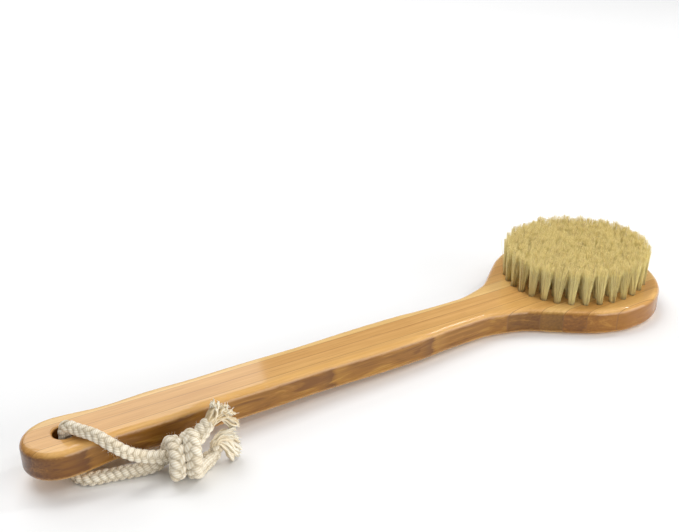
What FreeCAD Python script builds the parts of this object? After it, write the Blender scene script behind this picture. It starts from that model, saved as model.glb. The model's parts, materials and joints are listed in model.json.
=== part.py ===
"""Long-handled body dry brush.

One board is glued up from upright bamboo strips and cut to a paddle with a long handle.
Natural bristle tufts sit in blind holes in the head, each held by a small metal anchor.
A knotted cotton rope runs through the hole at the handle's end and swings around it.

Frame, in millimetres: X runs along the brush from the hanging end (-X) to the head (+X),
Y across it, Z up. The origin lies under the middle of the brush's length, on the plane that
the flat back of the head rests on.
"""
import FreeCAD, Part
import os
from math import atan2, cos, hypot, pi, sin, tan

V = FreeCAD.Vector

# ---- board -------------------------------------------------------------------------------
LENGTH = 356.0                # overall length of the brush
TIP_X = -LENGTH / 2           # hanging end
NOSE_X = LENGTH / 2           # far end of the head
THICKNESS = 14.3              # board thickness
STRIP_PITCH = 7.4             # width of one glued strip
STRIPS_PER_SIDE = 7           # strips on each side of the middle glue line
EDGE_ROUND = 3.3              # rounding of the board's top and bottom edges

END_DEPTH = 16.0              # length of the rounded hanging end
END_HALF_WIDTH = 14.2
HEAD_CENTRE_X = 136.0         # widest place of the head
HEAD_HALF_LENGTH = NOSE_X - HEAD_CENTRE_X
HEAD_HALF_WIDTH = 46.5
WAIST_X = 55.0                # narrowest place, where the handle meets the neck
WAIST_HALF_WIDTH = 12.1

# Half-widths of the handle between its end and its waist: a gentle hand-shaped wave.
HANDLE_EDGE = [(-142, 12.1), (-122, 12.8), (-102, 12.4), (-77, 12.7), (-42, 12.5), (-13, 13.4), (19, 13.3)]
# Half-widths of the neck as it flares from the waist to the head.
NECK_EDGE = [(69, 14.6), (79, 17.9), (90, 25.4), (101, 33.9), (112, 41.1), (122, 45.0)]

TIP_RISE = 6.6                # the handle rises this much towards its hanging end
BEND_X = 83.0                 # where the straight rise starts
BEND_BLEND = 24.0             # length of the soft bend on each side of that place
RISE_ANGLE = atan2(TIP_RISE, BEND_X - TIP_X)

# ---- hanging hole ------------------------------------------------------------------------
HOLE_X = -159.9
HOLE_RADIUS = 4.75
HOLE_MOUTH_ROUND = 1.0

# ---- bristles ----------------------------------------------------------------------------
FIELD_X = 132.5               # middle of the oval bristle field
FIELD_HALF_LENGTH = 40.0      # to the centres of the outer tufts
FIELD_HALF_WIDTH = 36.2
RINGS = [(1.0, 32), (0.81, 26), (0.62, 20), (0.43, 14), (0.24, 8), (0.0, 1)]   # size, tufts
TUFT_HOLE_RADIUS = 1.7
TUFT_HOLE_DEPTH = 9.0
TUFT_FOOT_RADIUS = 1.65
TUFT_TOP_RADIUS = 3.1
TUFT_CROWN = 0.6              # rounding height of a tuft's trimmed top
BRISTLE_HEIGHT = 19.1         # above the face of the head
ANCHOR_LENGTH = 3.1
ANCHOR_THICKNESS = 0.4
ANCHOR_HEIGHT = 2.8
ANCHOR_GAP = 0.05             # play between an anchor and what surrounds it

# ---- rope --------------------------------------------------------------------------------
ROPE_DIAMETER = 5.2
# The loop, from the knot over the near edge, down through the hole and back to the knot.
ROPE_ROUTE = [
    (-126.5, -24.8, 9.8),
    (-135.0, -22.8, 11.0),
    (-142.6, -21.8, 15.0),
    (-151.0, -17.3, 24.8),
    (-159.2, 0.3, 25.3),
    (-159.3, -0.4, 2.65),
    (-158.5, -13.8, 2.65),
    (-145.8, -16.2, 2.65),
    (-135.5, -19.5, 3.1),
    (-126.5, -22.8, 4.4),
]
KNOT_CENTRE = V(-118.3, -28.2, 8.3)
KNOT_AXIS = V(0.93, -0.36, 0.0)
KNOT_HALF_LENGTH = 9.2
KNOT_WRAP_RADIUS = 8.2
KNOT_VALLEY_RADIUS = 7.3
UPPER_END_ROOT = V(-111.6, -25.0, 12.2)
UPPER_END_TIP = V(-101.5, -26.8, 27.0)
LOWER_END_ROOT = V(-111.2, -31.4, 7.0)
LOWER_END_TIP = V(-100.3, -36.2, 7.4)
FRAYED_END_RADIUS = 5.0


def line(start, end):
    return Part.LineSegment(start, end).toShape()


def board_top(x):
    """Height of the board's upper face at x, outside the soft bend."""
    return THICKNESS + max(0.0, BEND_X - x) * tan(RISE_ANGLE)


def edge_curve(points, side):
    """Smooth board edge through the points, starting and ending parallel to X."""
    curve = Part.BSplineCurve()
    curve.interpolate(
        Points=[V(x, side * half_width, 0) for x, half_width in points],
        InitialTangent=V(1, 0, 0),
        FinalTangent=V(1, 0, 0),
    )
    return curve.toShape()


def outline_prism():
    """The paddle outline seen from above, as a tall prism."""
    end_x = TIP_X + END_DEPTH
    end = Part.Ellipse(V(TIP_X, 0, 0), V(end_x, END_HALF_WIDTH, 0), V(end_x, 0, 0))
    head = Part.Ellipse(V(HEAD_CENTRE_X, HEAD_HALF_WIDTH, 0), V(HEAD_CENTRE_X - HEAD_HALF_LENGTH, 0, 0),
                        V(HEAD_CENTRE_X, 0, 0))
    waist = (WAIST_X, WAIST_HALF_WIDTH)
    handle = [(end_x, END_HALF_WIDTH)] + HANDLE_EDGE + [waist]
    neck = [waist] + NECK_EDGE + [(HEAD_CENTRE_X, HEAD_HALF_WIDTH)]
    edges = [Part.Arc(end, -pi / 2, pi / 2).toShape(), Part.Arc(head, pi, 2 * pi).toShape()]
    for side in (-1, 1):
        edges.append(edge_curve(handle, side))
        edges.append(edge_curve(neck, side))
    wire = Part.Wire(Part.__sortEdges__(edges))
    prism = Part.Face(wire).extrude(V(0, 0, 4 * THICKNESS))
    prism.translate(V(0, 0, -THICKNESS))
    return prism


def side_profile_prism():
    """The board seen from the side: flat head, soft bend, straight rising handle."""
    margin = 5.0
    start = V(TIP_X - margin, 0, TIP_RISE + margin * tan(RISE_ANGLE))
    bend_start = V(BEND_X - BEND_BLEND * cos(RISE_ANGLE), 0, BEND_BLEND * sin(RISE_ANGLE))
    bend_end = V(BEND_X + BEND_BLEND, 0, 0)
    radius = BEND_BLEND / tan(RISE_ANGLE / 2)
    half = RISE_ANGLE / 2
    bend_middle = V(bend_end.x - radius * sin(half), 0, radius * (1 - cos(half)))
    finish = V(NOSE_X + margin, 0, 0)
    up = V(0, 0, THICKNESS)
    edges = [
        line(start, bend_start),
        Part.Arc(bend_start, bend_middle, bend_end).toShape(),
        line(bend_end, finish),
        line(finish, finish + up),
        line(finish + up, bend_end + up),
        Part.Arc(bend_end + up, bend_middle + up, bend_start + up).toShape(),
        line(bend_start + up, start + up),
        line(start + up, start),
    ]
    width = 2 * HEAD_HALF_WIDTH + 2 * margin
    prism = Part.Face(Part.Wire(edges)).extrude(V(0, width, 0))
    prism.translate(V(0, -width / 2, 0))
    return prism


def is_rim_edge(edge):
    """True for the long top and bottom edges of the board."""
    first = edge.valueAt(edge.FirstParameter)
    last = edge.valueAt(edge.LastParameter)
    middle = edge.valueAt((edge.FirstParameter + edge.LastParameter) / 2)
    is_upright = hypot(first.x - last.x, first.y - last.y) < 0.01
    is_crossing = abs(first.x - last.x) < 0.01 and abs(middle.x - first.x) < 0.01
    return not is_upright and not is_crossing


def hanging_hole_cutter():
    """A drill with flared ends, which leaves the hole's two mouths rounded."""
    bottom = board_top(HOLE_X) - THICKNESS
    top = board_top(HOLE_X)
    ease = HOLE_MOUTH_ROUND
    flare = HOLE_RADIUS + ease
    reach = 3.0
    halfway = ease * (1 - cos(pi / 4))
    lower_arc = Part.Arc(V(flare, 0, bottom), V(HOLE_RADIUS + halfway, 0, bottom + halfway),
                         V(HOLE_RADIUS, 0, bottom + ease))
    upper_arc = Part.Arc(V(HOLE_RADIUS, 0, top - ease), V(HOLE_RADIUS + halfway, 0, top - halfway),
                         V(flare, 0, top))
    edges = [
        line(V(0, 0, bottom - reach), V(flare, 0, bottom - reach)),
        line(V(flare, 0, bottom - reach), V(flare, 0, bottom)),
        lower_arc.toShape(),
        line(V(HOLE_RADIUS, 0, bottom + ease), V(HOLE_RADIUS, 0, top - ease)),
        upper_arc.toShape(),
        line(V(flare, 0, top), V(flare, 0, top + reach)),
        line(V(flare, 0, top + reach), V(0, 0, top + reach)),
        line(V(0, 0, top + reach), V(0, 0, bottom - reach)),
    ]
    cutter = Part.Face(Part.Wire(edges)).revolve(V(0, 0, 0), V(0, 0, 1), 360)
    cutter.translate(V(HOLE_X, 0, 0))
    return cutter


def ring_places(size, count):
    """Centres of the tufts of one oval ring, the same on both sides of the X axis."""
    turn = 2 * pi / count
    return [(FIELD_X + size * FIELD_HALF_LENGTH * cos(turn * number),
             size * FIELD_HALF_WIDTH * sin(turn * number)) for number in range(count)]


def make_board():
    """The whole paddle in one piece, with its hanging hole and its blind tuft holes."""
    blank = outline_prism().common(side_profile_prism()).Solids[0]
    board = blank.makeFillet(EDGE_ROUND, [edge for edge in blank.Edges if is_rim_edge(edge)])
    board = board.cut(hanging_hole_cutter())
    holes = []
    for size, count in RINGS:
        for x, y in ring_places(size, count):
            floor = V(x, y, THICKNESS - TUFT_HOLE_DEPTH)
            holes.append(Part.makeCylinder(TUFT_HOLE_RADIUS, TUFT_HOLE_DEPTH + 2.0, floor))
    return board.cut(Part.makeCompound(holes))


def make_strips(board):
    """The board taken apart at its glue lines, from the -Y side to the +Y side."""
    strips = []
    for number in range(-STRIPS_PER_SIDE, STRIPS_PER_SIDE):
        slab = Part.makeBox(LENGTH + 10, STRIP_PITCH, 3 * THICKNESS,
                            V(TIP_X - 5, number * STRIP_PITCH, -THICKNESS))
        strips.append(board.common(slab))
    return strips


def make_anchor(x, y):
    """The flat metal strip that pins a folded tuft at the bottom of its hole."""
    base = THICKNESS - TUFT_HOLE_DEPTH + ANCHOR_GAP
    corner = V(x - ANCHOR_LENGTH / 2, y - ANCHOR_THICKNESS / 2, base)
    return Part.makeBox(ANCHOR_LENGTH, ANCHOR_THICKNESS, ANCHOR_HEIGHT, corner)


def make_tuft(x, y):
    """A bundle of bristles: straight in its hole, spreading above, slotted for its anchor."""
    floor = THICKNESS - TUFT_HOLE_DEPTH + ANCHOR_GAP
    shoulder = THICKNESS + BRISTLE_HEIGHT - TUFT_CROWN
    tip = THICKNESS + BRISTLE_HEIGHT
    crown_radius = TUFT_TOP_RADIUS - TUFT_CROWN
    corners = [
        V(0, 0, floor),
        V(TUFT_FOOT_RADIUS, 0, floor),
        V(TUFT_FOOT_RADIUS, 0, THICKNESS),
        V(TUFT_TOP_RADIUS, 0, shoulder),
        V(crown_radius, 0, tip),
        V(0, 0, tip),
        V(0, 0, floor),
    ]
    tuft = Part.Face(Part.makePolygon(corners)).revolve(V(0, 0, 0), V(0, 0, 1), 360)
    slot_width = ANCHOR_THICKNESS + 2 * ANCHOR_GAP
    slot_height = ANCHOR_HEIGHT + ANCHOR_GAP
    slot = Part.makeBox(3 * TUFT_FOOT_RADIUS, slot_width, slot_height + 1,
                        V(-1.5 * TUFT_FOOT_RADIUS, -slot_width / 2, floor - 1))
    tuft = tuft.cut(slot)
    tuft.translate(V(x, y, 0))
    return tuft


def rope_path():
    """Straight runs joined by tangent arcs; returns the wire and the arcs' radii."""
    points = [V(*point) for point in ROPE_ROUTE]
    edges = []
    radii = []
    reached = points[0]
    for before, corner, after in zip(points, points[1:], points[2:]):
        arriving = (corner - before).normalize()
        leaving = (after - corner).normalize()
        half_turn = arriving.getAngle(leaving) / 2
        trim = 0.45 * min((corner - before).Length, (after - corner).Length)
        radius = trim / tan(half_turn)
        arc_start = corner - arriving * trim
        arc_end = corner + leaving * trim
        inward = (leaving - arriving).normalize()
        arc_middle = corner + inward * (radius / cos(half_turn) - radius)
        edges.append(line(reached, arc_start))
        edges.append(Part.Arc(arc_start, arc_middle, arc_end).toShape())
        radii.append(radius)
        reached = arc_end
    edges.append(line(reached, points[-1]))
    return Part.Wire(edges), radii


def make_rope_tube():
    path, radii = rope_path()
    start = path.Edges[0]
    direction = start.tangentAt(start.FirstParameter)
    ring = Part.makeCircle(ROPE_DIAMETER / 2, start.valueAt(start.FirstParameter), direction)
    tube = path.makePipeShell([Part.Wire(ring)], True, True)
    section = pi * ROPE_DIAMETER ** 2 / 4
    print("rope radii", [round(radius, 1) for radius in radii])
    print("rope length", round(path.Length, 1), "volume / (section * length)",
          round(tube.Volume / (section * path.Length), 4))
    return tube


def make_knot():
    """The outer shape of a doubled overhand knot: two fat wraps side by side."""
    half = KNOT_HALF_LENGTH
    shoulder = V(0.93 * half, 0.45 * KNOT_WRAP_RADIUS, 0)
    crest = V(0.5 * half, KNOT_WRAP_RADIUS, 0)
    profile = Part.BSplineCurve()
    profile.interpolate(Points=[
        V(-half, 0, 0),
        V(-shoulder.x, shoulder.y, 0),
        V(-crest.x, crest.y, 0),
        V(0, KNOT_VALLEY_RADIUS, 0),
        crest,
        shoulder,
        V(half, 0, 0),
    ])
    edges = [profile.toShape(), line(V(half, 0, 0), V(-half, 0, 0))]
    knot = Part.Face(Part.Wire(edges)).revolve(V(0, 0, 0), V(1, 0, 0), 360)
    knot.Placement = FreeCAD.Placement(KNOT_CENTRE, FreeCAD.Rotation(V(1, 0, 0), KNOT_AXIS))
    return knot


def make_frayed_end(root, tip):
    """A rope end that opens from the rope's own size into a brush of loose yarns."""
    reach = tip - root
    return Part.makeCone(ROPE_DIAMETER / 2, FRAYED_END_RADIUS, reach.Length, root, reach)


def export(name, shape):
    shape.exportStep(os.path.join("parts", name + ".step"))


def main():
    os.makedirs("parts", exist_ok=True)
    for number, strip in enumerate(make_strips(make_board()), start=1):
        export(f"bamboo_strip_{number:02d}", strip)
    for number, (size, count) in enumerate(RINGS, start=1):
        places = ring_places(size, count)
        export(f"bristle_tufts_ring_{number}", Part.makeCompound([make_tuft(x, y) for x, y in places]))
        export(f"tuft_anchors_ring_{number}", Part.makeCompound([make_anchor(x, y) for x, y in places]))
    knot = make_knot()
    export("rope_knot", knot)
    export("hanging_rope", make_rope_tube().cut(knot))
    export("rope_end_upper", make_frayed_end(UPPER_END_ROOT, UPPER_END_TIP).cut(knot))
    export("rope_end_lower", make_frayed_end(LOWER_END_ROOT, LOWER_END_TIP).cut(knot))


main()
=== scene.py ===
"""Looks of the bamboo body dry brush: lacquered bamboo strips, natural bristles, cotton rope."""

import json
import math
import random

import bpy
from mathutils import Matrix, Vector, noise


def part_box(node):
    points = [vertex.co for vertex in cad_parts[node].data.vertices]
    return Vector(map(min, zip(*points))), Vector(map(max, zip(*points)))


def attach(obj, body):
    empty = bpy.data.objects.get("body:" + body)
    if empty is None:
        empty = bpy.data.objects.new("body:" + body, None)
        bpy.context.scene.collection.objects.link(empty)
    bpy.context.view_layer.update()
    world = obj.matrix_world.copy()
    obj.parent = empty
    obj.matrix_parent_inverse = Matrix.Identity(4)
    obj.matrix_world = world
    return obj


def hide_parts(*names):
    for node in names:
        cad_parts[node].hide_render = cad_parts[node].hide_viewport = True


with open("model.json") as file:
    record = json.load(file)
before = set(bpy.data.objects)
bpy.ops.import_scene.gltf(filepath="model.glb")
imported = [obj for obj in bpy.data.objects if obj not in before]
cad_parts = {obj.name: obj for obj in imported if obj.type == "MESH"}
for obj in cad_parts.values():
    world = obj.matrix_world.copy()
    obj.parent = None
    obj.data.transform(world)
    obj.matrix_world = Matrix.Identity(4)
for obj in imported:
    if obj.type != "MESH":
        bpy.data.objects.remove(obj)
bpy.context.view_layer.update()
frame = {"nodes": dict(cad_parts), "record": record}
MM = 0.001
UP = Vector((0, 0, 1))


# ---- small helpers -----------------------------------------------------------------------
def add_mesh(name, vertices, faces, material):
    mesh = bpy.data.meshes.new(name)
    mesh.from_pydata(vertices, [], faces)
    mesh.update()
    mesh.materials.append(material)
    piece = bpy.data.objects.new(name, mesh)
    bpy.context.scene.collection.objects.link(piece)
    return piece


def shade_smooth(piece):
    for polygon in piece.data.polygons:
        polygon.use_smooth = True


def add_float_attribute(piece, name, values):
    attribute = piece.data.attributes.new(name, "FLOAT", "POINT")
    attribute.data.foreach_set("value", values)


def across(direction):
    """Two unit vectors at right angles to a direction."""
    helper = UP if abs(direction.z) < 0.9 else Vector((1, 0, 0))
    first = direction.cross(helper).normalized()
    return first, direction.cross(first).normalized()


class Tubes:
    """Collects many thin tubes into one mesh, with values that its material reads."""

    def __init__(self):
        self.vertices = []
        self.faces = []
        self.values = {"along": [], "shade": [], "relief": [], "ply": []}

    def add(self, points, radii, sides, shade, frames=None, flatten=1.0, reliefs=None, plies=0):
        """A tube through the points. The second frame vector faces out, and flatten squashes along it."""
        base = len(self.vertices)
        last = len(points) - 1
        if frames is None:
            frames = carried_frames(points)
        for index, (point, radius, (first, second)) in enumerate(zip(points, radii, frames)):
            for side in range(sides):
                angle = 2 * math.pi * side / sides - math.pi / 2
                offset = first * math.cos(angle) + second * math.sin(angle) * flatten
                self.vertices.append(point + offset * radius)
                self.values["along"].append(index / last)
                self.values["shade"].append(shade)
                # relief, for the cotton's painted shade: lower on the inward side of each tube
                outward = (1 + math.sin(angle)) / 2
                self.values["relief"].append(1.0 if reliefs is None else reliefs[index] * (0.15 + 0.85 * outward))
                self.values["ply"].append(plies * index / last + side / sides)
        for index in range(last):
            for side in range(sides):
                a = base + index * sides + side
                b = base + index * sides + (side + 1) % sides
                self.faces.append((a, b, b + sides, a + sides))
        self.faces.append(tuple(base + side for side in reversed(range(sides))))
        self.faces.append(tuple(base + last * sides + side for side in range(sides)))

    def build(self, name, material, wanted):
        piece = add_mesh(name, self.vertices, self.faces, material)
        for key in wanted:
            add_float_attribute(piece, key, self.values[key])
        shade_smooth(piece)
        return piece


def carried_frames(points):
    """Frames carried along a line of points without twisting."""
    frames = []
    first = None
    for index, point in enumerate(points):
        before = points[max(index - 1, 0)]
        after = points[min(index + 1, len(points) - 1)]
        tangent = (after - before).normalized()
        if first is None:
            first, second = across(tangent)
        else:
            first = (first - tangent * first.dot(tangent)).normalized()
            second = tangent.cross(first)
        frames.append((first, second))
    return frames


# ---- camera, floor and light ---------------------------------------------------------------
CAMERA_PLACE = Vector((-0.2281, -0.3140, 0.2416))
CAMERA_HEADING = math.radians(32.76)
CAMERA_DIP = math.radians(25.88)
CAMERA_LENS = 47.66


def make_camera():
    data = bpy.data.cameras.new("camera")
    data.lens = CAMERA_LENS
    data.sensor_width = 36.0
    data.clip_start = 0.01
    camera = bpy.data.objects.new("camera", data)
    camera.location = CAMERA_PLACE
    camera.rotation_euler = (math.pi / 2 - CAMERA_DIP, 0, -CAMERA_HEADING)
    bpy.context.scene.collection.objects.link(camera)
    bpy.context.scene.camera = camera


def make_floor():
    half = 6.0
    corners = [(-half, -half, 0), (half, -half, 0), (half, half, 0), (-half, half, 0)]
    material = bpy.data.materials.new("floor_white")
    material.use_nodes = True
    shader = material.node_tree.nodes["Principled BSDF"]
    shader.inputs["Base Color"].default_value = (0.93, 0.93, 0.93, 1)
    shader.inputs["Roughness"].default_value = 0.9
    shader.inputs["Specular IOR Level"].default_value = 0.1
    floor = add_mesh("floor", corners, [(0, 1, 2, 3)], material)


def add_area_light(name, place, target, size, power):
    data = bpy.data.lights.new(name, "AREA")
    data.shape = "RECTANGLE"
    data.size, data.size_y = size
    data.energy = power
    light = bpy.data.objects.new(name, data)
    light.location = place
    light.rotation_euler = (Vector(target) - Vector(place)).to_track_quat("-Z", "Y").to_euler()
    bpy.context.scene.collection.objects.link(light)


def make_lights():
    world = bpy.data.worlds.new("studio")
    bpy.context.scene.world = world
    world.use_nodes = True
    background = world.node_tree.nodes["Background"]
    background.inputs["Color"].default_value = (1.0, 1.0, 1.0, 1)
    background.inputs["Strength"].default_value = 0.25
    add_area_light("softbox_back", (-0.10, 1.0, 2.4), (0, 0, 0), (2.0, 1.3), 32)
    add_area_light("softbox_behind", (0.0, 1.6, 1.1), (0, 0, 0), (1.6, 0.9), 10)
    add_area_light("softbox_top", (-0.5, -0.7, 2.1), (0, 0, 0), (1.6, 1.6), 3)
    add_area_light("low_fill", (0.60, -1.30, 0.36), (0.05, 0, 0.02), (1.8, 0.8), 17)
    add_area_light("strip_light", (0.45, -0.50, 0.92), (0.45, 0, 0), (1.2, 0.05), 1.8)
    add_area_light("window", (0.93, -0.07, 1.03), (0.13, -0.045, 0.0125), (0.12, 0.20), 2.6)
    bpy.context.scene.view_settings.view_transform = "Standard"


# ---- materials -----------------------------------------------------------------------------
class Nodes:
    """Short calls for building one material's nodes."""

    def __init__(self, name):
        self.material = bpy.data.materials.new(name)
        self.material.use_nodes = True
        self.tree = self.material.node_tree
        self.shader = self.tree.nodes["Principled BSDF"]

    def add(self, kind, **settings):
        node = self.tree.nodes.new(kind)
        for key, value in settings.items():
            setattr(node, key, value)
        return node

    def put(self, socket, value):
        if isinstance(value, bpy.types.NodeSocket):
            self.tree.links.new(value, socket)
        else:
            socket.default_value = value

    def coordinates(self, scale=(1, 1, 1), offset=(0, 0, 0), source=None):
        mapping = self.add("ShaderNodeMapping")
        if source is None:
            source = self.add("ShaderNodeTexCoord").outputs["Object"]
        self.put(mapping.inputs["Vector"], source)
        mapping.inputs["Scale"].default_value = scale
        mapping.inputs["Location"].default_value = offset
        return mapping.outputs["Vector"]

    def noise(self, vector, scale=1.0, detail=3.0, roughness=0.5, distortion=0.0):
        node = self.add("ShaderNodeTexNoise")
        self.put(node.inputs["Vector"], vector)
        node.inputs["Scale"].default_value = scale
        node.inputs["Detail"].default_value = detail
        node.inputs["Roughness"].default_value = roughness
        node.inputs["Distortion"].default_value = distortion
        return node.outputs["Fac"]

    def ramp(self, value, stops, ease="LINEAR"):
        node = self.add("ShaderNodeValToRGB")
        node.color_ramp.interpolation = ease
        elements = node.color_ramp.elements
        while len(elements) < len(stops):
            elements.new(0.5)
        for element, (place, colour) in zip(elements, stops):
            element.position = place
            element.color = (*colour, 1) if len(colour) == 3 else colour
        self.put(node.inputs["Fac"], value)
        return node.outputs["Color"]

    def math(self, operation, a, b=0.0, clamp=False):
        node = self.add("ShaderNodeMath", operation=operation, use_clamp=clamp)
        self.put(node.inputs[0], a)
        self.put(node.inputs[1], b)
        return node.outputs[0]

    def mix(self, factor, a, b, blend="MIX"):
        node = self.add("ShaderNodeMix", data_type="RGBA", blend_type=blend)
        self.put(node.inputs["Factor"], factor)
        self.put(node.inputs[6], a)
        self.put(node.inputs[7], b)
        return node.outputs[2]

    def grey(self, low, high, value):
        """A 0 to 1 value stretched to low..high."""
        node = self.add("ShaderNodeMapRange")
        self.put(node.inputs["Value"], value)
        node.inputs["To Min"].default_value = low
        node.inputs["To Max"].default_value = high
        return node.outputs["Result"]

    def bump(self, height, distance, strength=1.0, normal=None):
        node = self.add("ShaderNodeBump")
        self.put(node.inputs["Height"], height)
        node.inputs["Distance"].default_value = distance
        node.inputs["Strength"].default_value = strength
        if normal is not None:
            self.put(node.inputs["Normal"], normal)
        return node.outputs["Normal"]


# Upper faces show the strip's edge grain: the darker and the lighter colour of each tone.
BAMBOO_TONES = {
    "bamboo_honey": ((0.55, 0.275, 0.070), (0.72, 0.405, 0.130)),
    "bamboo_golden": ((0.60, 0.315, 0.085), (0.77, 0.455, 0.155)),
    "bamboo_pale": ((0.66, 0.385, 0.115), (0.83, 0.550, 0.215)),
}
# Upright faces show the strip's flat side, with its flame figure: shadow, body and light. These tones are partly
# the flat side's own darker colour and partly painted shade, since upright faces get less light than the tops.
SHADED_SIDE_TONES = ((0.16, 0.056, 0.003), (0.25, 0.102, 0.008), (0.42, 0.205, 0.028))
MIDDLE_TONE = (0.685, 0.385, 0.120)
SIDE_CALM = 0.65              # how far the figure fades on the outermost strips' sides
SIDE_LIGHTNESS = (1.0, 1.0, 0.80, 0.80, 1.10, 1.25, 1.25)   # of the strips' sides, from the middle outwards
BOARD_PITCH = 7.4 * MM        # from one glue line to the next
JOINT_SPACING = 59 * MM       # between the culm's joints along one strip
JOINT_SHIFT = 31 * MM         # the joints of neighbouring strips are staggered by this much
FIRST_JOINT = 97 * MM


def bamboo_material(name, tone, number):
    """Lacquered bamboo: long fibres, slow tone drift, flame figure, culm joints, glue lines, clear coat."""
    n = Nodes(name)
    dark, light = BAMBOO_TONES[tone]
    middle = tuple((a + b) / 2 for a, b in zip(dark, light))
    shuffle = (number * 7.31, number * 3.17, number * 5.71)
    fibres = n.noise(n.coordinates((16, 1100, 1100), shuffle), 1.0, 3, 0.6)
    streaks = n.noise(n.coordinates((5, 330, 330), shuffle), 1.0, 3, 0.55, 0.3)
    drift = n.noise(n.coordinates((9, 60, 60), shuffle), 1.0, 2, 0.5, 0.6)
    flames = n.noise(n.coordinates((24, 100, 150), shuffle), 1.0, 3, 0.55, 2.0)
    blend = n.math("ADD", n.math("MULTIPLY", fibres, 0.30), n.math("MULTIPLY", streaks, 0.40))
    blend = n.math("ADD", blend, n.math("MULTIPLY", drift, 0.30))
    top = n.ramp(blend, [(0.36, dark), (0.50, middle), (0.64, light)])
    dashes = n.ramp(n.noise(n.coordinates((45, 1700, 1700), shuffle), 1.0, 2, 0.5),
                    [(0.60, (0, 0, 0)), (0.72, (1, 1, 1))])
    top = n.mix(n.math("MULTIPLY", dashes, 0.30), top, tuple(c * 0.62 for c in dark) + (1,))
    # the flat side of the strip, darker than the top: partly its own colour, partly painted shade
    figure = n.math("ADD", n.math("MULTIPLY", flames, 0.72), n.math("MULTIPLY", fibres, 0.28))
    side = n.ramp(figure, [(0.36, SHADED_SIDE_TONES[0]), (0.50, SHADED_SIDE_TONES[1]), (0.66, SHADED_SIDE_TONES[2])], "EASE")
    place_out = int(abs(number - 7.5))
    lightness = SIDE_LIGHTNESS[place_out]
    side = n.mix(SIDE_CALM * place_out / 6, side, (*SHADED_SIDE_TONES[1], 1))
    side = n.mix(1.0, side, tuple(lightness * a / b for a, b in zip(middle, MIDDLE_TONE)) + (1,), "MULTIPLY")
    # the culm's joints: a dark line with a pale band on its +X side
    place = n.add("ShaderNodeSeparateXYZ")
    n.put(place.inputs[0], n.coordinates())
    wander = n.math("MULTIPLY", n.math("SUBTRACT", flames, 0.5), 10 * MM)
    start = FIRST_JOINT + 10 * JOINT_SPACING + (number - 6) * JOINT_SHIFT
    steps = n.math("DIVIDE", n.math("ADD", n.math("ADD", place.outputs["X"], wander), start), JOINT_SPACING)
    cycle = n.math("FRACT", steps)
    joint = n.ramp(cycle, [(0.0, (0.9, 0.9, 0.9)), (0.035, (0, 0, 0)), (0.86, (0, 0, 0)), (0.98, (1, 1, 1))])
    halo = n.ramp(cycle, [(0.0, (0.2, 0.2, 0.2)), (0.05, (1, 1, 1)), (0.20, (0, 0, 0)), (1.0, (0, 0, 0))])
    strength = 1 - SIDE_CALM * place_out / 6
    side = n.mix(n.math("MULTIPLY", joint, 0.72 * strength), side, (0.12, 0.040, 0.004, 1))
    side = n.mix(n.math("MULTIPLY", halo, 0.45 * strength), side, (*SHADED_SIDE_TONES[2], 1))
    top = n.mix(n.math("MULTIPLY", joint, 0.16), top, (*dark, 1))
    facing = n.add("ShaderNodeSeparateXYZ")
    n.put(facing.inputs[0], n.add("ShaderNodeNewGeometry").outputs["Normal"])
    upright = n.math("SUBTRACT", 1.0, n.math("ABSOLUTE", facing.outputs["Z"]))
    shaded_side_mask = n.ramp(upright, [(0.30, (0, 0, 0)), (0.80, (1, 1, 1))])
    # painted shade: the sides darken towards the handle's end
    handle_end_shade = n.ramp(n.math("MULTIPLY", place.outputs["X"], -1 / (200 * MM)),
                        [(0.40, (1, 1, 1)), (0.80, (0.82, 0.76, 0.66))])
    side = n.mix(1.0, side, handle_end_shade, "MULTIPLY")
    # upright faces take the side colour, which holds painted shade
    colour = n.mix(shaded_side_mask, top, side)
    is_end = n.ramp(n.math("ABSOLUTE", facing.outputs["X"]), [(0.20, (0, 0, 0)), (0.80, (1, 1, 1))])
    pores = n.ramp(fibres, [(0.38, (0.66, 0.56, 0.44)), (0.62, (0.88, 0.80, 0.70))])
    colour = n.mix(is_end, colour, n.mix(1.0, colour, pores, "MULTIPLY"))
    # the dark glue lines between neighbouring strips
    lane = n.math("FRACT", n.math("ADD", n.math("DIVIDE", place.outputs["Y"], BOARD_PITCH), 20.5))
    glue = n.ramp(n.math("ABSOLUTE", n.math("SUBTRACT", lane, 0.5)), [(0.010, (1, 1, 1)), (0.028, (0, 0, 0))])
    colour = n.mix(n.math("MULTIPLY", glue, 0.55), colour, (0.20, 0.085, 0.020, 1))
    n.put(n.shader.inputs["Base Color"], colour)
    n.put(n.shader.inputs["Roughness"], n.grey(0.36, 0.56, streaks))
    height = n.math("SUBTRACT", n.math("MULTIPLY", fibres, 0.7), n.math("MULTIPLY", glue, 0.6))
    n.put(n.shader.inputs["Normal"], n.bump(height, 0.12 * MM, 0.5))
    n.shader.inputs["Specular IOR Level"].default_value = 0.16
    n.shader.inputs["Coat Weight"].default_value = 0.80
    n.shader.inputs["Coat Roughness"].default_value = 0.07
    n.shader.inputs["Coat IOR"].default_value = 1.45
    return n.material


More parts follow.
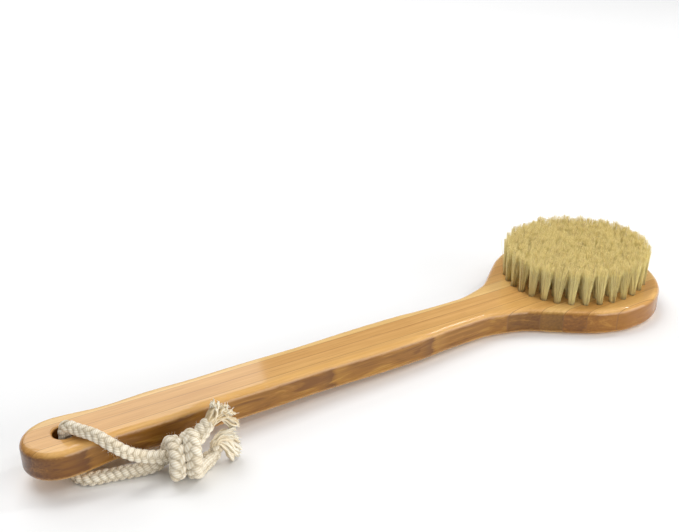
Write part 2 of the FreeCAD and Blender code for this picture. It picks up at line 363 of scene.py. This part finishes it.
def bristle_material():
    """Boar bristle: amber at the root, straw yellow above and duller at the tips; the shaft is painted brighter
    than the tips as painted light for light passing through the bristles.
    """
    n = Nodes("natural_bristle")
    along = n.add("ShaderNodeAttribute", attribute_name="along").outputs["Fac"]
    shade = n.add("ShaderNodeAttribute", attribute_name="shade").outputs["Fac"]
    # painted light: the shaft is brighter than the tips, for light passing through the bristles
    colour = n.ramp(along, [(0.0, (0.80, 0.60, 0.22)), (0.12, (1.0, 0.86, 0.38)), (0.80, (1.0, 0.88, 0.42)),
                            (1.0, (0.80, 0.63, 0.22))])
    tint = n.ramp(shade, [(0.0, (0.46, 0.33, 0.17)), (0.20, (0.96, 0.94, 0.88)), (1.0, (1.0, 1.0, 0.98))])
    n.put(n.shader.inputs["Base Color"], n.mix(1.0, colour, tint, "MULTIPLY"))
    n.put(n.shader.inputs["Roughness"], n.grey(0.38, 0.55, shade))
    ripples = n.noise(n.coordinates((900, 900, 4000)), 1.0, 2)
    n.put(n.shader.inputs["Normal"], n.bump(ripples, 0.02 * MM, 0.4))
    n.shader.inputs["Specular IOR Level"].default_value = 0.6
    n.shader.inputs["Sheen Weight"].default_value = 0.8
    n.shader.inputs["Sheen Roughness"].default_value = 0.5
    n.shader.inputs["Sheen Tint"].default_value = (1.0, 0.90, 0.55, 1)
    return n.material


def cotton_material(name, hollow_shade, base, crest):
    """Undyed cotton yarn: matt and fluffy, with painted shade in the hollows and in the grooves between the fine
    plies twisted round each strand.
    """
    n = Nodes(name)
    shade = n.add("ShaderNodeAttribute", attribute_name="shade").outputs["Fac"]
    relief = n.add("ShaderNodeAttribute", attribute_name="relief").outputs["Fac"]
    ply = n.add("ShaderNodeAttribute", attribute_name="ply").outputs["Fac"]
    fluff = n.noise(n.coordinates((1500, 1500, 1500)), 1.0, 4, 0.6)
    patches = n.noise(n.coordinates((90, 90, 90)), 1.0, 2, 0.5)
    # painted shade: the lower the relief, the closer the colour comes to the hollow shade
    depth = n.math("ADD", relief, n.math("MULTIPLY", n.math("SUBTRACT", fluff, 0.5), 0.35))
    colour = n.ramp(depth, [(0.22, hollow_shade), (0.52, base), (0.92, crest)])
    tint = n.ramp(n.math("ADD", n.math("MULTIPLY", shade, 0.6), n.math("MULTIPLY", patches, 0.4)),
                  [(0.15, (0.90, 0.84, 0.74)), (0.75, (1, 1, 1))])
    ridges = n.math("SINE", n.math("MULTIPLY", ply, 2 * math.pi * 4))
    # painted shade in the grooves between the plies
    groove_shade = n.ramp(ridges, [(0.0, (0.86, 0.81, 0.73)), (0.5, (1, 1, 1))])
    colour = n.mix(1.0, colour, groove_shade, "MULTIPLY")
    n.put(n.shader.inputs["Base Color"], n.mix(1.0, colour, tint, "MULTIPLY"))
    n.put(n.shader.inputs["Roughness"], n.grey(0.82, 0.98, fluff))
    height = n.math("ADD", n.math("MULTIPLY", ridges, 0.25), fluff)
    n.put(n.shader.inputs["Normal"], n.bump(height, 0.20 * MM, 0.6))
    n.shader.inputs["Specular IOR Level"].default_value = 0.15
    n.shader.inputs["Sheen Weight"].default_value = 0.25
    n.shader.inputs["Sheen Roughness"].default_value = 0.6
    return n.material


def anchor_material():
    """Drawn metal strip with fine lengthwise draw marks."""
    n = Nodes("anchor_metal")
    marks = n.noise(n.coordinates((300, 6000, 9000)), 1.0, 3, 0.6)
    n.put(n.shader.inputs["Base Color"], n.ramp(marks, [(0.3, (0.52, 0.51, 0.49)), (0.7, (0.74, 0.73, 0.70))]))
    n.put(n.shader.inputs["Roughness"], n.grey(0.25, 0.45, marks))
    n.put(n.shader.inputs["Normal"], n.bump(marks, 0.00002, 0.3))
    n.shader.inputs["Metallic"].default_value = 1.0
    return n.material


def finish_cad_nodes():
    """Gives the CAD pieces that stay visible their detailed materials."""
    tone_of = {row["node"]: row["material_slot"] for row in frame["record"]["subparts"]}
    metal = anchor_material()
    for name, node in frame["nodes"].items():
        if name.startswith("bamboo_strip"):
            material = bamboo_material("lacquered_" + name, tone_of[name], int(name[-2:]))
        elif name.startswith("tuft_anchors"):
            material = metal
        else:
            continue
        for slot in node.material_slots:
            slot.material = material


# ---- bristles ------------------------------------------------------------------------------
TUFTS = "bristle_tufts_ring_"
RINGS = [(1.0, 32), (0.81, 26), (0.62, 20), (0.43, 14), (0.24, 8), (0.0, 1)]   # size, tufts
TUFT_TOP_RADIUS = 3.1 * MM    # of the solid tuft that the bristles stand for
TUFT_FOOT_RADIUS = 1.52 * MM
TUFT_SPREAD_RADIUS = 3.8 * MM
INWARD_LEAN = 0.045           # share of a tuft's distance from the middle that its tip leans in
BRISTLES_PER_TUFT = 200
BRISTLE_FOOT_RADIUS = 0.12 * MM
BRISTLE_TIP_RADIUS = 0.07 * MM
BRISTLE_SHARES = (-0.06, 0.34, 0.70, 1.0)
STRAY_SHARE = 0.06
CLUMPS = 7                    # a tuft's bristles stick together in this many clumps
HEAD_FACE = 14.3 * MM


def grow_tuft(tubes, centre, lean, top, rng):
    step = (BRISTLE_FOOT_RADIUS - BRISTLE_TIP_RADIUS) / (len(BRISTLE_SHARES) - 1)
    radii = [BRISTLE_FOOT_RADIUS - step * index for index in range(len(BRISTLE_SHARES))]
    clumps = [(Vector((rng.gauss(0, 0.40), rng.gauss(0, 0.40), rng.gauss(0, 0.50))) * MM, rng.uniform(-0.22, 0.22))
              for _ in range(CLUMPS)]
    for _ in range(BRISTLES_PER_TUFT):
        angle = rng.uniform(0, 2 * math.pi)
        reach = math.sqrt(rng.random())
        clump = 0 if reach < 0.4 else 1 + int(angle / (2 * math.pi) * (CLUMPS - 1))
        gather, tone = clumps[clump]
        ray = Vector((math.cos(angle), math.sin(angle), 0))
        foot = centre + ray * reach * TUFT_FOOT_RADIUS
        scatter = (1.0 if rng.random() < STRAY_SHARE else 0.25) * MM
        jitter = Vector((rng.gauss(0, scatter), rng.gauss(0, scatter), rng.gauss(0, 0.35 * MM))) + gather
        tip = centre + lean + ray * reach * TUFT_SPREAD_RADIUS + jitter
        height = top - HEAD_FACE + jitter.z
        points = []
        for share in BRISTLE_SHARES:
            spot = foot.lerp(tip, max(share, 0.0) ** 1.25)
            points.append(Vector((spot.x, spot.y, HEAD_FACE + height * share)))
        shade = rng.random() ** 0.7 + tone
        tubes.add(points, radii, 3, min(1.0, max(0.0, shade)))


def make_bristles():
    material = bristle_material()
    low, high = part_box(TUFTS + "1")
    middle = (Vector(low) + Vector(high)) / 2
    half_length = (high[0] - low[0]) / 2 - TUFT_TOP_RADIUS
    half_width = (high[1] - low[1]) / 2 - TUFT_TOP_RADIUS
    for number, (size, count) in enumerate(RINGS, start=1):
        rng = random.Random(number)
        tubes = Tubes()
        for place in range(count):
            turn = 2 * math.pi * place / count
            offset = Vector((size * half_length * math.cos(turn), size * half_width * math.sin(turn), 0))
            centre = Vector((middle.x, middle.y, 0)) + offset
            grow_tuft(tubes, centre, offset * -INWARD_LEAN, high[2], rng)
        ring = tubes.build(f"bristles_ring_{number}", material, ("along", "shade"))
        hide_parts(TUFTS + str(number))
        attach(ring, "brush")


# ---- rope ----------------------------------------------------------------------------------
ROPE_DIAMETER = 5.9 * MM
# The whole rope from one frayed end to the other, in millimetres: down through the knot's core,
# over the near edge, down the hole, back under the handle, twice round the core and out again.
ROPE_ROUTE = [
    (-107.3, -27.0, 21.3),
    (-110.4, -26.8, 18.2),
    (-114.6, -26.6, 13.8),
    (-120.0, -26.8, 10.9),
    (-127.2, -24.0, 9.8),
    (-133.8, -22.4, 11.2),
    (-140.6, -21.6, 14.8),
    (-146.6, -19.6, 20.6),
    (-151.4, -13.0, 23.8),
    (-155.6, -6.6, 23.4),
    (-159.8, -0.6, 24.4),
    (-159.9, -0.2, 14.0),
    (-159.9, -0.2, 3.1),
    (-159.0, -12.6, 3.1),
    (-146.5, -15.2, 3.1),
    (-136.5, -18.4, 3.1),
    (-129.0, -20.6, 4.0),
    (-124.8, -20.4, 7.4),
    (-123.0, -21.4, 14.0),
    (-123.2, -27.4, 15.8),
    (-124.4, -32.4, 12.0),
    (-125.2, -32.6, 5.6),
    (-123.4, -27.0, 3.5),
    (-118.6, -22.4, 4.2),
    (-116.2, -21.6, 11.0),
    (-116.2, -25.8, 17.2),
    (-117.6, -32.4, 16.2),
    (-119.0, -36.0, 9.6),
    (-118.2, -33.4, 3.8),
    (-112.6, -28.8, 3.4),
    (-107.6, -27.6, 3.6),
    (-105.2, -27.8, 6.6),
    (-105.4, -28.0, 10.4),
]
KNOT_CENTRE = Vector((-118.6, -27.6, 9.4)) * MM
KNOT_AXIS = Vector((0.933, -0.361, 0))
KNOT_HALF_LENGTH = 9.0 * MM
WRAP_FULLNESS = 0.30          # how much fatter the rope lies in the knot's outer turns
BRAID_PITCH = 12.0 * MM
BRAID_STRANDS = 4             # strands winding each way
STRAND_HALF_WIDTH = 1.20 * MM
STRAND_FLATNESS = 0.82
BRAID_RADIUS = 1.50 * MM
BRAID_WEAVE = 0.40 * MM
ROUTE_STEPS = 24              # points per span when a spline is turned into a line
CENTRE_STEP = 0.5 * MM
HANGING_HOLE = Vector((-159.9, 0, 0)) * MM
HANDLE_REACH = 22 * MM        # the rope lies over or under the handle within this of the hole


def smooth_line(name, route):
    """The points of a smooth spline along the route."""
    curve = bpy.data.curves.new(name, "CURVE")
    curve.dimensions = "3D"
    curve.resolution_u = ROUTE_STEPS
    spline = curve.splines.new("NURBS")
    spline.points.add(len(route) - 1)
    for point, (x, y, z) in zip(spline.points, route):
        point.co = (x * MM, y * MM, z * MM, 1)
    spline.order_u = 3
    spline.use_endpoint_u = True
    guide = bpy.data.objects.new(name, curve)
    bpy.context.scene.collection.objects.link(guide)
    bpy.context.view_layer.update()
    mesh = bpy.data.meshes.new_from_object(guide)
    points = [vertex.co.copy() for vertex in mesh.vertices]
    bpy.data.objects.remove(guide)
    bpy.data.meshes.remove(mesh)
    return points


def line_length(points):
    return sum((b - a).length for a, b in zip(points, points[1:]))


def even_line(points, step):
    """The same line with evenly spaced points."""
    count = round(line_length(points) / step)
    step = line_length(points) / count
    spaced = [points[0]]
    left = step
    for start, end in zip(points, points[1:]):
        length = (end - start).length
        while length >= left:
            start = start + (end - start) * (left / length)
            spaced.append(start)
            length = (end - start).length
            left = step
        left -= length
    return spaced[:count] + [points[-1]]


def wrap_fullness(point):
    """1 on the straight rope, more where it lies as an outer turn of the knot."""
    away = point - KNOT_CENTRE
    along = away.dot(KNOT_AXIS)
    out = (away - KNOT_AXIS * along).length
    near = max(0.0, 1 - abs(along) / (1.3 * KNOT_HALF_LENGTH))
    return 1 + WRAP_FULLNESS * min(1.0, 2.5 * near) * min(1.0, max(0.0, out / (4.5 * MM) - 0.4))


def make_braid(points, material):
    """Four strands winding each way: each set lies on top in its own columns, like ears of wheat."""
    tubes = Tubes()
    frames = carried_frames(points)
    step = line_length(points) / (len(points) - 1)
    sizes = [wrap_fullness(point) for point in points]
    rng = random.Random(5)
    for direction in (1, -1):
        for strand in range(BRAID_STRANDS):
            path = []
            outwards = []
            widths = []
            reliefs = []
            for index, (point, (first, second), size) in enumerate(zip(points, frames, sizes)):
                travel = index * step / BRAID_PITCH
                angle = direction * 2 * math.pi * travel + 2 * math.pi * strand / BRAID_STRANDS
                outward = first * math.cos(angle) + second * math.sin(angle)
                weave = direction * math.cos(2 * angle + math.pi / 4)
                path.append(point + outward * (BRAID_RADIUS + BRAID_WEAVE * weave) * size)
                outwards.append(outward)
                swell = 1 + 0.10 * weave + 0.05 * noise.noise(point * 300 + Vector((strand, direction, 0)))
                widths.append(STRAND_HALF_WIDTH * size * swell)
                # lower relief where the strand dips under the others, for painted shade there
                reliefs.append(0.60 + 0.40 * weave)
            strand_frames = []
            for index, outward in enumerate(outwards):
                tangent = path[min(index + 1, len(path) - 1)] - path[max(index - 1, 0)]
                sideways = outward.cross(tangent).normalized()
                strand_frames.append((sideways, outward))
            tubes.add(path, widths, 12, rng.uniform(0.3, 1.0), strand_frames, STRAND_FLATNESS, reliefs,
                      plies=len(points) * step / (2.4 * MM))
    # a core inside the braid, at low relief and shade, so it shows as painted shade between the strands
    core = [BRAID_RADIUS * size * 0.9 for size in sizes]
    tubes.add(points, core, 10, 0.2, frames, reliefs=[0.1] * len(points))
    return tubes.build("braided_rope", material, ("shade", "relief", "ply"))


def make_fuzz(points, material):
    """Short loose fibres that stand off the rope, where it is clear of the handle."""
    tubes = Tubes()
    frames = carried_frames(points)
    rng = random.Random(11)
    for _ in range(1100):
        index = rng.randrange(2, len(points) - 2)
        if (points[index] - HANGING_HOLE).xy.length < HANDLE_REACH:
            continue
        first, second = frames[index]
        angle = rng.uniform(0, 2 * math.pi)
        outward = first * math.cos(angle) + second * math.sin(angle)
        drift = (points[index + 1] - points[index - 1]).normalized() * rng.uniform(-1.2, 1.2)
        sideways = outward.cross(drift) * rng.uniform(-0.8, 0.8)
        size = wrap_fullness(points[index])
        root = points[index] + outward * 0.42 * ROPE_DIAMETER * size
        reach = rng.uniform(0.5, 1.7) * MM
        middle = root + (outward * 0.7 + drift * 0.5) * reach * 0.6
        tip = root + (outward + drift + sideways) * reach
        if tip.z > 0.1 * MM and middle.z > 0.1 * MM and root.z > 0.1 * MM:
            tubes.add([root, middle, tip], [0.035 * MM, 0.03 * MM, 0.015 * MM], 3, rng.uniform(0.5, 1.0))
    return tubes.build("rope_fuzz", material, ("shade", "relief", "ply"))


# Where the yarns of the two frayed ends reach, in millimetres.
UPPER_TIPS = [
    (-106.8, -26.0, 30.4), (-105.4, -28.4, 29.6), (-105.8, -27.2, 27.4), (-102.6, -25.6, 26.8),
    (-101.0, -28.4, 26.2), (-99.6, -26.4, 24.8), (-98.2, -28.8, 22.6), (-97.2, -27.0, 20.0),
    (-96.6, -28.6, 17.4), (-96.4, -26.2, 14.6), (-97.2, -27.8, 12.4),
]
LOWER_TIPS = [
    (-98.6, -28.8, 15.4), (-97.4, -29.6, 12.6), (-96.6, -29.6, 9.8), (-96.0, -28.4, 7.0),
    (-96.4, -30.4, 4.4), (-98.2, -30.8, 2.4), (-99.8, -30.2, 1.6), (-97.4, -27.4, 3.0),
]
YARN_RADIUS = 0.58 * MM
YARN_POINTS = 15


def make_frayed_end(name, material, root, heading, lift, tips, count, seed):
    """Loose yarns that fan from the rope's end: each leaves along the rope and curls to its own tip."""
    tubes = Tubes()
    rng = random.Random(seed)
    first, second = across(heading)
    shares = [index / (YARN_POINTS - 1) for index in range(YARN_POINTS)]
    for number in range(count):
        angle = rng.uniform(0, 2 * math.pi)
        spread = math.sqrt(rng.random()) * 0.38 * ROPE_DIAMETER
        start = root + (first * math.cos(angle) + second * math.sin(angle)) * spread
        place = rng.uniform(0, len(tips) - 1)
        before = Vector(tips[int(place)])
        after = Vector(tips[min(int(place) + 1, len(tips) - 1)])
        scatter = Vector((rng.gauss(0, 0.6), rng.gauss(0, 1.2), rng.gauss(0, 0.6)))
        target = (before.lerp(after, place % 1) + scatter) * MM
        reach = (target - start).length
        control = start + heading * reach * 0.50 + UP * lift * rng.uniform(0.5, 1.3)
        path = []
        for share in shares:
            spot = start.lerp(control, share).lerp(control.lerp(target, share), share)
            spot += noise.noise_vector(spot * 220 + Vector((number * 3.1, seed, 0))) * share * 1.8 * MM
            spot.z = max(spot.z, YARN_RADIUS * 1.2)
            path.append(spot)
        width = YARN_RADIUS * rng.uniform(0.85, 1.15)
        widths = [width * (1 - 0.12 * share) for share in shares]
        # lower relief towards the root, for painted shade inside the bundle of yarns
        reliefs = [0.50 + 0.50 * share for share in shares]
        tubes.add(path, widths, 7, rng.random(), reliefs=reliefs, plies=reach / (1.6 * MM))
        for _ in range(5):
            tip = path[-1] + Vector((rng.gauss(0, 0.6), rng.gauss(0, 0.6), rng.gauss(0, 0.6))) * MM
            tip.z = max(tip.z, 0.15 * MM)
            tubes.add([path[-3], path[-1], tip], [0.20 * MM, 0.16 * MM, 0.08 * MM], 4, 1.0)
    piece = tubes.build(name, material, ("shade", "relief", "ply"))
    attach(piece, "rope_loop")
    return piece


def make_rope():
    # the first colour of each cotton is the painted shade in the hollows
    cotton = cotton_material("cotton_rope", (0.15, 0.105, 0.05), (0.60, 0.525, 0.39), (0.90, 0.84, 0.71))
    loose = cotton_material("frayed_cotton", (0.70, 0.56, 0.34), (0.97, 0.89, 0.71), (1.0, 0.98, 0.88))
    centre = even_line(smooth_line("rope_guide", ROPE_ROUTE), CENTRE_STEP)
    rope = make_braid(centre, cotton)
    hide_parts("hanging_rope", "rope_knot")
    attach(rope, "rope_loop")
    fuzz = make_fuzz(centre, loose)
    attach(fuzz, "rope_loop")
    upper = make_frayed_end("rope_end_yarns_upper", loose, centre[3], (centre[0] - centre[4]).normalized(),
                            1.5 * MM, UPPER_TIPS, 80, 3)
    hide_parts("rope_end_upper")
    lower = make_frayed_end("rope_end_yarns_lower", loose, centre[-4], (centre[-1] - centre[-5]).normalized(),
                            2.5 * MM, LOWER_TIPS, 60, 4)
    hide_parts("rope_end_lower")


make_camera()
make_floor()
make_lights()
finish_cad_nodes()
make_bristles()
make_rope()
